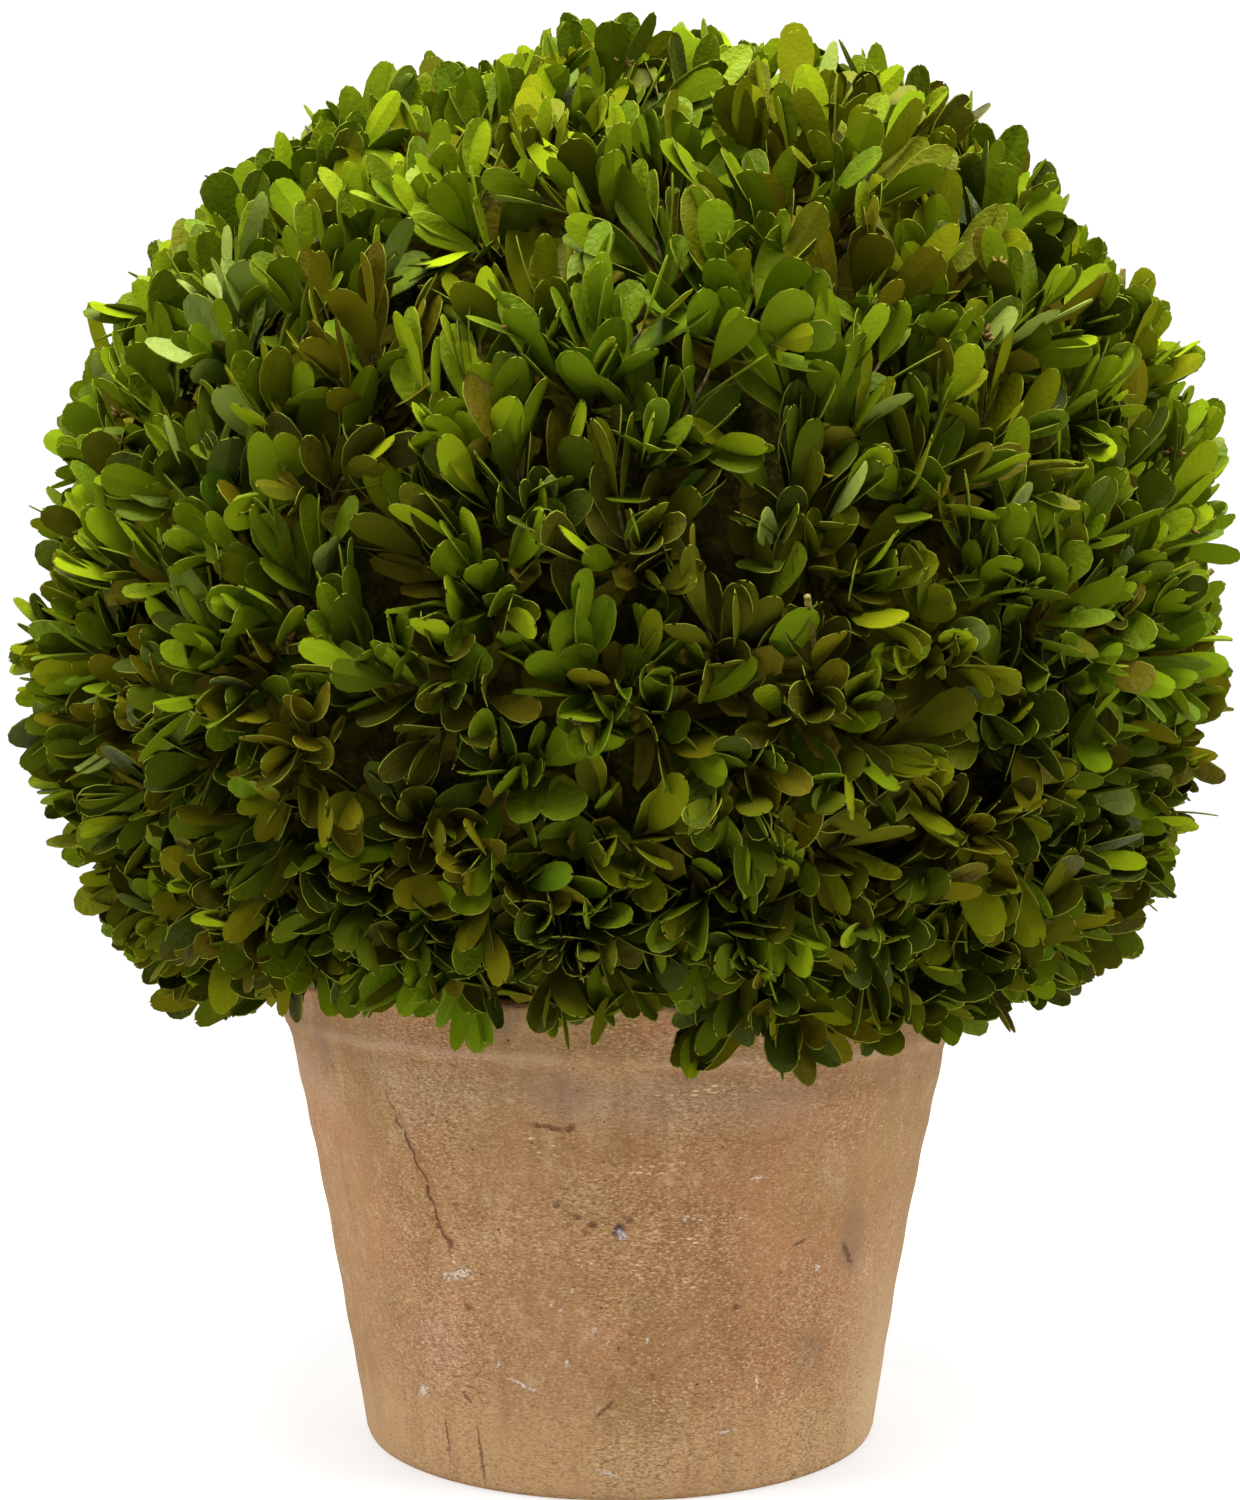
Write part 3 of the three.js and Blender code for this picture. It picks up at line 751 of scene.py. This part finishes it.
tube_shape = (STUB_PLACES, STUB_RADII, STUB_SIDES)
points, tubes, tube_ends = straight_tubes(stub_root, stub_way, stub_length, *tube_shape)
slots = np.repeat([0, 1], [len(tubes), len(tube_ends)])


def make_stub_bark():
    material, shader, place = new_material("stub bark")
    flakes = place.noise(650, 4, 0.65)
    colour = flakes.between(0.40, 0.56).paint(STUB_BROWN, STUB_GREEN)
    finish_material(shader, colour, 0.6, flakes.bump(0.0006), gloss=0.1)
    return material


def make_cut_wood():
    material, shader, place = new_material("cut wood")
    pores = place.noise(2500, 2)
    colour = pores.between(0.3, 0.6).paint(STUB_GREEN, STUB_CUT)
    finish_material(shader, colour, 0.8, pores.bump(0.0002))
    return material


stubs = make_piece("cut_twigs", points, [tubes, tube_ends], [make_stub_bark(), make_cut_wood()], slots)
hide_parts("foliage_ball")
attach(stubs, "root")

# The dried buds
# Small clusters of flower buds, dried brown with pale tips, sit at the ends of some twigs between the last
# pair of leaves.

BUDS = 84
BUD_SPIKES = 12
BUD_LIFT = 4.0  # from the end of the twig to the middle of its cluster
BUD_LENGTH = 3.6
BUD_LENGTH_RANGE = (0.6, 0.6)  # least share of that, and how much more a spike may take
BUD_SPREAD = 1.6  # radians between the twig and the widest spikes
BUD_PLACES = np.array([0.0, 0.6, 1.0])
BUD_RADII = np.array([0.30, 0.62, 0.16])
BUD_SIDES = 4
BUD_BROWN = (0.130, 0.062, 0.014)
BUD_PALE = (0.300, 0.190, 0.060)

bud_twigs = np.repeat(random.choice(np.setdiff1d(leafy_twigs, cut_twigs), BUDS, replace=False), BUD_SPIKES)
spikes = len(bud_twigs)
bud_root, bud_way = along_twig(np.full(spikes, 1.0), bud_twigs)
spike_way = leaning(bud_way, BUD_SPREAD * random.random(spikes), 2 * math.pi * random.random(spikes))
spike_length = BUD_LENGTH * (BUD_LENGTH_RANGE[0] + BUD_LENGTH_RANGE[1] * random.random(spikes))
spike_root = bud_root + BUD_LIFT * bud_way
tube_shape = (BUD_PLACES, BUD_RADII, BUD_SIDES)
points, tubes, tube_ends = straight_tubes(spike_root, spike_way, spike_length, *tube_shape)
# The lower half of each spike is brown, and its upper half and its end are pale.
slots = np.concatenate([np.tile(np.repeat([0, 1], BUD_SIDES), spikes), np.ones(len(tube_ends))])


def make_bud(name, colour):
    material, shader, place = new_material(name)
    scales = place.noise(1800, 2)
    finish_material(shader, colour, 0.6 + 0.3 * scales, scales.bump(0.0003), gloss=0.1)
    return material


bud_materials = [make_bud("bud_brown", BUD_BROWN), make_bud("bud_pale", BUD_PALE)]
buds = make_piece("dried_buds", points, [tubes, tube_ends], bud_materials, slots)
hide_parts("foliage_ball")
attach(buds, "root")

# The leaves
# Preserved box leaves, soft and leathery, in pairs along each twig and clipped to the ball. Each is
# spoon-shaped to oval with a rounded or notched tip, a crease along the midrib, a thin pale margin that
# turns down, and a paler, matte underside. They are up to 19 mm long, and a little larger here.

NODE_SHARES = np.array([0.34, 0.57, 0.79, 0.97])  # where a twig's pairs of leaves are, from root to tip
NODE_SPLAY = np.array([0.92, 0.66, 0.44, 0.25])  # radians between the twig and the leaves of each pair
SPLAY_RANGE = (0.46, 1.06)  # how tight or open the outer leaves of a sprig are
OPENING_SHARE = np.array([0.0, 0.5, 1.0, 1.0])  # how much of that each pair takes up
NODE_LENGTH = np.array([17.5, 20.0, 20.0, 17.0])
LENGTH_SPREAD = 0.15
SHORTEST = 8.0
WIDTH_SHARE = 0.43
WIDTH_SPREAD = 0.06
TURN_SPREAD = 0.4  # radians that a leaf may stand away from its place round the twig
SPLAY_SPREAD = 0.24
ROLL_SPREAD = 0.6
BEND = 0.12  # radians that a leaf curves back along its length
BEND_SPREAD = 0.4
LEAST_BEND = 0.02
CUP = 0.4  # how much the edges stand above the midrib
CUP_SPREAD = 0.5
NOTCH_SPREAD = 0.035  # share of the length, and half of the leaves have no notch
MARGIN_WIDTH = 0.22
MARGIN_DROP = 0.18
EDGE_THICKNESS = 0.05
LEAF_THICKNESS = 0.3
RIB_WIDTH = 0.32
ROW_PLACES = np.array([0.0, 0.20, 0.45, 0.68, 0.86, 0.96, 0.998])
SPOON_WIDTHS = np.array([0.08, 0.36, 0.76, 0.99, 0.93, 0.58, 0.14])
OVAL_WIDTHS = np.array([0.08, 0.62, 0.99, 0.93, 0.69, 0.39, 0.09])
# The rows that the innermost pair, the next pair and the outer pairs use.
PAIR_ROWS = [[0, 2, 4, 6], [0, 1, 3, 4, 5, 6], [0, 1, 2, 3, 4, 5, 6]]

# Each tint has its gloss, and its share of the leaves at the top of the ball and at its foot, where the
# foliage is older and darker, partly as painted shade. The pair of leaves nearest to the core is simpler
# and has a tint of its own.
LEAF_TINTS = {
    "inner": ((0.194, 0.158, 0.012), 0, 0, 0),
    "deep": ((0.045, 0.058, 0.001), 0.12, 0.05, 0.29),
    "deep_brown": ((0.054, 0.050, 0.001), 0.10, 0.03, 0.20),
    "green": ((0.098, 0.141, 0.001), 0.12, 0.27, 0.12),
    "leaf_green": ((0.118, 0.182, 0.002), 0.12, 0.16, 0.05),
    "olive": ((0.138, 0.148, 0.001), 0.10, 0.19, 0.10),
    "brown_olive": ((0.100, 0.080, 0.001), 0.08, 0.035, 0.20),
    "emerald": ((0.080, 0.150, 0.004), 0.14, 0.02, 0.01),
    "grey_green": ((0.085, 0.115, 0.020), 0.40, 0.015, 0.005),
    "yellow_green": ((0.200, 0.264, 0.003), 0.12, 0.17, 0.015),
    "bright": ((0.240, 0.305, 0.055), 0.14, 0.04, 0),
}
STRAY_TINT = 0.36  # share of leaves that take another tint than their sprig's
YOUNG_TINT = 0.22  # share of tip leaves that are a young yellow green
MARGIN_TINT = (0.178, 0.198, 0.021)
UNDER_SHARE = 0.95  # the underside has this share of the leaf's tint, and a pale bloom on it
UNDER_BLOOM = (0.027, 0.033, 0.003)

pairs = len(NODE_SHARES)
twig_of_leaf = np.tile(np.repeat(twigs, 2), pairs)
pair_of_leaf = np.repeat(np.arange(pairs), 2 * len(twigs))
side_of_leaf = np.tile([0, 1], pairs * len(twigs))
leaf_count = len(twig_of_leaf)


def spread(amount):
    """One random number for each leaf, from -amount to amount."""
    return amount * (2 * random.random(leaf_count) - 1)


twig_turn = 2 * math.pi * random.random(twig_count)
leaf_node, twig_axis = along_twig(NODE_SHARES[pair_of_leaf], twig_of_leaf)
leaf_turn = twig_turn[twig_of_leaf] + pair_of_leaf * math.pi / 2 + side_of_leaf * math.pi
leaf_turn = leaf_turn + spread(TURN_SPREAD)
openness = random.uniform(*SPLAY_RANGE, sprig_count)[sprig_of_twig[twig_of_leaf]]
openness = 1 + (openness - 1) * OPENING_SHARE[pair_of_leaf]
leaf_way = leaning(twig_axis, NODE_SPLAY[pair_of_leaf] * openness + spread(SPLAY_SPREAD), leaf_turn)
outward = leaf_node - BALL_CENTRE
# The tips of a sprig end together, a little outside or inside the ball, and least so on the flat top.
unevenness = TIP_UNEVENNESS * (1 - 0.7 * smooth_step(sprigs[:, 2], 0.80, 0.93))
unevenness = (unevenness * (2 * random.random(sprig_count) - 1))[sprig_of_twig[twig_of_leaf]]
room = ball_reach(unit(outward)) + unevenness - np.linalg.norm(outward, axis=-1)
steepness = np.maximum(0.2, np.sum(leaf_way * unit(outward), axis=-1))
leaf_length = np.minimum(NODE_LENGTH[pair_of_leaf] * (1 + spread(LENGTH_SPREAD)), room / steepness)
leaf_width = leaf_length * (WIDTH_SHARE + spread(WIDTH_SPREAD))
leaf_bend = BEND + spread(BEND_SPREAD)
leaf_bend = np.where(np.abs(leaf_bend) < LEAST_BEND, LEAST_BEND, leaf_bend)
leaf_cup = CUP + spread(CUP_SPREAD)
leaf_notch = np.maximum(0, spread(NOTCH_SPREAD))
spoon_share = random.random(leaf_count)[:, None]

face_way = unit(twig_axis - np.sum(twig_axis * leaf_way, axis=-1, keepdims=True) * leaf_way)
roll = spread(ROLL_SPREAD)[:, None]
face_way = np.cos(roll) * face_way + np.sin(roll) * np.cross(leaf_way, face_way)
across_way = np.cross(leaf_way, face_way)


def make_leaves(which, pair):
    """Points of the chosen leaves, as simple as their pair asks for, and one leaf's faces and slots."""
    rows = PAIR_ROWS[min(pair, 2)]
    margin = pair > 0
    places = np.tile(ROW_PLACES[rows], (len(which), 1))
    shape = SPOON_WIDTHS[rows] * spoon_share[which] + OVAL_WIDTHS[rows] * (1 - spoon_share[which])
    half_width = 0.5 * leaf_width[which, None] * shape
    inner_half = np.maximum(half_width - MARGIN_WIDTH, 0.6 * half_width)
    at_tip = np.arange(len(rows)) == len(rows) - 1
    mid_places = places - at_tip * leaf_notch[which, None]
    edge_places = places - 0.02 * at_tip
    cup = leaf_cup[which, None] * shape

    def column(place, across, lift):
        """One point a row, on leaves bent along their length. The place is a share of the length."""
        bend = leaf_bend[which, None]
        length = leaf_length[which, None] / bend
        forward = (length - lift) * np.sin(bend * place)
        up = length * (1 - np.cos(bend * place)) + lift * np.cos(bend * place)
        ways = (leaf_way[which, None], across_way[which, None], face_way[which, None])
        offsets = (forward[..., None], across[..., None], up[..., None])
        return leaf_node[which, None] + sum(offset * way for offset, way in zip(offsets, ways))

    # Each half of a leaf from its edge inward, in strips: slot 1 is the margin, 0 the blade, and 2 the
    # underside and the rib. The simpler pairs have no margin, or a rib with no width.
    edge_lift = cup - MARGIN_DROP * margin
    flat = 0 * places
    half_rib = np.minimum(0.5 * RIB_WIDTH, 0.3 * half_width)
    sides = [(edge_places, half_width, edge_lift), (places, inner_half, cup), (mid_places, half_rib, flat)]
    if not margin:
        sides = [sides[0], (mid_places, flat, flat)]
    elif pair == 1:
        sides[2] = (mid_places, flat, flat)
    strips = []
    for sign in (-1, 1):
        for outer, inner, slot in zip(sides[:-1], sides[1:], (1, 0) if margin else (0,)):
            ends = [(outer[0], sign * outer[1], outer[2]), (inner[0], sign * inner[1], inner[2])]
            strips.append((ends[::sign], slot))
        below_edge = (edge_places, sign * half_width, edge_lift - EDGE_THICKNESS)
        below_rib = (mid_places, flat, flat - LEAF_THICKNESS)
        strips.append(([below_edge, below_rib][::-sign], 2))
    if pair > 1:
        strips.append(([(mid_places, -half_rib, flat), (mid_places, half_rib, flat)][::-1], 2))
    columns = [column(*side) for ends, _ in strips for side in ends]
    points = np.stack(columns, axis=2)

    first = np.arange(len(rows) - 1)[:, None] * len(columns)
    faces = [np.concatenate([first + 2 * i + [0, 1], first + len(columns) + 2 * i + [1, 0]], axis=1)
             for i in range(len(strips))]
    slots = np.repeat([slot for _, slot in strips], len(rows) - 1)
    return points, np.concatenate(faces), slots


def make_leaf_material(name, colour, roughness, relief, gloss):
    """Leathery leaf in one plain colour, with a fine grain in its sheen and its surface."""
    material, shader, place = new_material(name)
    grain = place.noise(900, 1)
    veins = place.scaled(1, 1, 0.5).noise(330, 1)
    height = 0.5 * grain + veins
    finish_material(shader, colour, roughness + 0.2 * grain, height.bump(relief, 0.7), gloss)
    return material


colours, glosses, top_shares, foot_shares = (np.array(column) for column in zip(*LEAF_TINTS.values()))
# The tints grow brighter from the foot of the ball to its top, and a little at the sides too: partly
# younger foliage, and partly painted light from above and the sides with painted shade at the foot.
sideways = np.maximum(0, np.abs(sprigs[:, 0]) - 0.6)
youth_and_light = smooth_step(sprigs[:, 2] + 0.9 * sideways, -0.7, 0.85)
shares = foot_shares + youth_and_light[:, None] * (top_shares - foot_shares)
shares = np.cumsum(shares, axis=1) / np.sum(shares, axis=1, keepdims=True)
sprig_of_leaf = sprig_of_twig[twig_of_leaf]
sprig_tint = np.sum(random.random((sprig_count, 1)) > shares, axis=1)
stray_tint = np.sum(random.random((leaf_count, 1)) > shares[sprig_of_leaf], axis=1)
tint = np.where(random.random(leaf_count) < STRAY_TINT, stray_tint, sprig_tint[sprig_of_leaf])
outermost = pair_of_leaf == pairs - 1
young = outermost & (random.random(leaf_count) < YOUNG_TINT * (0.1 + youth_and_light[sprig_of_leaf]))
tint = np.where(young, list(LEAF_TINTS).index("yellow_green"), tint)
tint = np.where(pair_of_leaf == 0, list(LEAF_TINTS).index("inner"), tint)

all_leaves = np.arange(leaf_count)
outline, _, _ = make_leaves(all_leaves, 0)
outline = outline.reshape(leaf_count, -1, 3)
keeps = keeps_to_ball(outline, skirt_edge[sprig_of_leaf], skirt_rise[sprig_of_leaf])
keeps = keeps & (leaf_length > SHORTEST) & ~(np.isin(twig_of_leaf, cut_twigs) & outermost)
margin_material = make_leaf_material("leaf_margin", MARGIN_TINT, 0.5, 0.0002, 0)

for index, tint_name in enumerate(LEAF_TINTS):
    points, faces, slots = [], [], []
    for pair in range(pairs):
        chosen = all_leaves[keeps & (tint == index) & (pair_of_leaf == pair)]
        leaf_points, leaf_faces, leaf_slots = make_leaves(chosen, pair)
        points_each = leaf_points.shape[1] * leaf_points.shape[2]
        first_point = sum(map(len, points)) + np.arange(len(chosen))[:, None, None] * points_each
        points.append(leaf_points.reshape(-1, 3))
        faces.append((first_point + leaf_faces[None]).reshape(-1, 4))
        slots.append(np.tile(leaf_slots, len(chosen)))
    points, faces, slots = np.concatenate(points), np.concatenate(faces), np.concatenate(slots)
    blade = make_leaf_material("leaf_" + tint_name, colours[index], 0.42, 0.0008, glosses[index])
    under_colour = UNDER_SHARE * colours[index] + UNDER_BLOOM
    underside = make_leaf_material("under_" + tint_name, under_colour, 0.6, 0.0004, 0)
    leaves = make_piece("leaves_" + tint_name, points, [faces], [blade, margin_material, underside], slots)
    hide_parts("foliage_ball")
    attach(leaves, "root")

# The studio
# A plain pale floor that glows a little, broad soft lights overhead, at the sides and behind, and a camera
# that stands close to the plant, level with the ball.

CAMERA_DISTANCE = 0.690
CAMERA_HEIGHT = 0.2055
CAMERA_PITCH = 0.0145  # radians, downward
FOCAL_PIXELS = 2374.0
IMAGE_HEIGHT = 1500
SENSOR = 36.0
AMBIENT = 0.275  # how much light comes from all round
BACKDROP = 1.06  # how bright the camera sees the white behind the floor

camera_data = bpy.data.cameras.new("camera")
camera_data.sensor_width = SENSOR
camera_data.lens = SENSOR * FOCAL_PIXELS / IMAGE_HEIGHT
camera = bpy.data.objects.new("camera", camera_data)
camera.location = (0, -CAMERA_DISTANCE, CAMERA_HEIGHT)
camera.rotation_euler = (math.pi / 2 - CAMERA_PITCH, 0, 0)
bpy.context.scene.collection.objects.link(camera)
bpy.context.scene.camera = camera


def add_light(name, place, target, width, height, watts):
    """A soft rectangular light that faces a point."""
    data = bpy.data.lights.new(name, "AREA")
    data.shape = "RECTANGLE"
    data.size = width
    data.size_y = height
    data.energy = watts
    light = bpy.data.objects.new(name, data)
    light.location = place
    way = np.array(target) - np.array(place)
    tilt = math.acos(-way[2] / np.linalg.norm(way))
    light.rotation_euler = (tilt, 0, math.atan2(way[1], way[0]) - math.pi / 2)
    bpy.context.scene.collection.objects.link(light)


add_light("overhead", (0.0, -0.35, 1.25), (0, 0, 0.25), 1.0, 0.8, 36)
add_light("left", (-1.1, -0.4, 0.75), (0, 0, 0.22), 0.5, 0.6, 8.6)
add_light("right", (1.1, -0.4, 0.75), (0, 0, 0.22), 0.5, 0.6, 9.0)
add_light("rear", (0.0, 0.95, 0.95), (0, 0.25, 0), 1.3, 0.6, 8)

FLOOR_RADIUS = 520.0  # the floor is a piece like the others, and in millimetres again
FLOOR_DROP = 0.05
FLOOR_SIDES = 96
FLOOR_GLOW = 0.56  # a light table, which keeps the shadow faint
PAPER = (0.50, 0.50, 0.50)
PAPER_PALE = (0.53, 0.53, 0.53)

turns = np.linspace(0, 2 * math.pi, FLOOR_SIDES, endpoint=False)
level = np.full(FLOOR_SIDES, -FLOOR_DROP)
points = np.stack([FLOOR_RADIUS * np.cos(turns), FLOOR_RADIUS * np.sin(turns), level], axis=-1)


def make_paper():
    material, shader, place = new_material("pale paper")
    fibre = place.noise(60, 3)
    finish_material(shader, fibre.between(0.3, 0.7).paint(PAPER, PAPER_PALE), 0.9)
    shader.inputs["Emission Color"].default_value = (1, 1, 1, 1)
    shader.inputs["Emission Strength"].default_value = FLOOR_GLOW
    material.cycles.emission_sampling = "NONE"
    return material


floor = make_piece("floor", points, [np.arange(len(points))[None]], [make_paper()])

world = bpy.data.worlds.new("studio")
world.use_nodes = True
tree = world.node_tree
background = tree.nodes["Background"]
background.inputs["Color"].default_value = (1, 1, 1, 1)
seen = Field(tree, tree.nodes.new("ShaderNodeLightPath").outputs["Is Camera Ray"])
strength = AMBIENT + (BACKDROP - AMBIENT) * seen
tree.links.new(strength.socket, background.inputs["Strength"])
bpy.context.scene.world = world
bpy.context.scene.view_settings.view_transform = "Standard"
